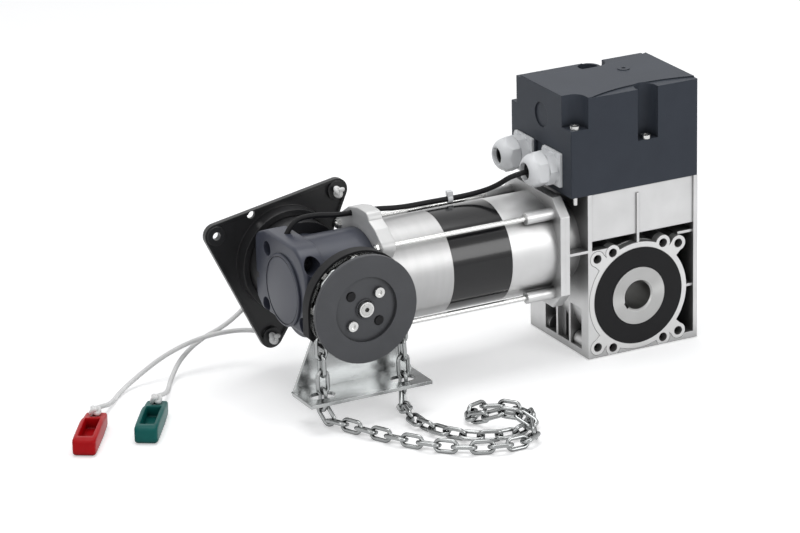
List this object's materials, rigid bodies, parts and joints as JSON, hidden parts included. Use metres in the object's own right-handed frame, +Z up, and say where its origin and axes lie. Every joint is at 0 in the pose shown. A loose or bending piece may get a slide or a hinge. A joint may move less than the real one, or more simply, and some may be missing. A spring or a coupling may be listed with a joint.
{
  "type": "industrial door operator",
  "caption": "Shaft-mounted door operator: worm gearbox with hollow keyed shaft, inline motor, electrics hood, hand chain wheel and pull-cord release lever.",
  "frame": {"origin": "on the hollow shaft's axis, in the plane of the gearbox's front cover face", "axes": "+X from the motor towards the gearbox, +Y along the bore to the back, +Z up"},
  "size_m": [0.5842, 0.3123, 0.2392],
  "materials": {
    "casting": "blasted die casting",
    "machined": "turned",
    "seal_black": "satin",
    "shaft_steel": "turned",
    "bearing_steel": "ground",
    "bronze": "cut",
    "laminations": "stacked sheet",
    "stack_black": "gloss black",
    "copper": "varnished wire",
    "can_aluminium": "turned",
    "zinc_steel": "zinc plated",
    "housing_grey": "smooth grey",
    "plastic_black": "satin",
    "guard_black": "satin",
    "disc_grey": "fine grain",
    "black_steel": "black oxide",
    "hood_grey": "smooth dark grey",
    "gland_grey": "satin",
    "board_green": "lacquered",
    "lead_black": "satin",
    "cord_white": "braided",
    "handle_red": "satin gloss",
    "handle_green": "satin gloss"
  },
  "bodies": {
    "operator": {"gearbox_housing": "casting", "front_flange_cover": "machined", "rear_flange_cover": "machined", "front_shaft_seal": "seal_black", "rear_shaft_seal": "seal_black", "output_bearing_outer": "bearing_steel", "rotor_bearing_outer": "bearing_steel", "front_end_bell": "casting", "stator_stack": "stack_black", "stator_windings": "copper", "rear_can": "can_aluminium", "rear_end_shield": "casting", "tie_rods": "zinc_steel", "drive_housing": "housing_grey", "end_cap": "housing_grey", "housing_screws": "zinc_steel", "lever_boss": "plastic_black", "lever_ring": "plastic_black", "chain_guard": "guard_black", "chain_bracket": "zinc_steel", "bracket_screws": "zinc_steel", "wheel_bush": "bronze", "hand_chain": "zinc_steel", "hood": "hood_grey", "hood_tray": "hood_grey", "hood_screws": "zinc_steel", "gland_plates": "gland_grey", "gland_bodies": "gland_grey", "gland_nuts": "gland_grey", "gland_seals": "seal_black", "gland_locknuts": "gland_grey", "terminal_board": "board_green", "board_posts": "gland_grey", "terminal_block": "gland_grey", "limit_switch": "plastic_black", "signal_lead": "lead_black", "lead_tie": "gland_grey", "red_cord": "cord_white", "green_cord": "cord_white", "red_handle": "handle_red", "green_handle": "handle_green", "handle_knots": "cord_white"},
    "output": {"hollow_shaft": "shaft_steel", "worm_wheel": "bronze", "output_bearing_inner": "bearing_steel"},
    "rotor": {"rotor_shaft": "shaft_steel", "rotor_core": "laminations", "rotor_bearing_inner": "bearing_steel", "motor_bevel_gear": "bearing_steel"},
    "chain_drive": {"chain_wheel": "zinc_steel", "wheel_disc": "disc_grey", "wheel_screws": "black_steel", "wheel_shaft": "shaft_steel", "wheel_nut": "zinc_steel"},
    "pinion": {"wheel_bevel_gear": "bearing_steel"},
    "lever": {"lever_plate": "plastic_black", "lever_knots": "cord_white"}
  },
  "joints": [
    {"name": "output_spin", "type": "hinge", "parent": "operator", "child": "output", "pos_m": [0, 0, 0], "axis": [0, 1, 0], "continuous": true},
    {"name": "rotor_spin", "type": "hinge", "parent": "operator", "child": "rotor", "pos_m": [0, 0.05, 0.049], "axis": [1, 0, 0], "continuous": true},
    {"name": "chain_spin", "type": "hinge", "parent": "operator", "child": "chain_drive", "pos_m": [-0.278, 0, 0.049], "axis": [0, 1, 0], "continuous": true, "deforming": ["hand_chain"]},
    {"name": "pinion_slide", "type": "slide", "parent": "chain_drive", "child": "pinion", "axis": [0, 1, 0], "range_m": [0, 0.003]},
    {"name": "lever_swing", "type": "hinge", "parent": "operator", "child": "lever", "pos_m": [-0.278, 0, 0.049], "axis": [0, 1, 0], "range_deg": [0, 25], "deforming": ["red_cord", "green_cord"]}
  ],
  "couplings": [
    {"joint": "rotor_spin", "follows": "output_spin", "ratio": -37},
    {"joint": "pinion_slide", "follows": "lever_swing", "m_per_rad": 0.006875}
  ]
}
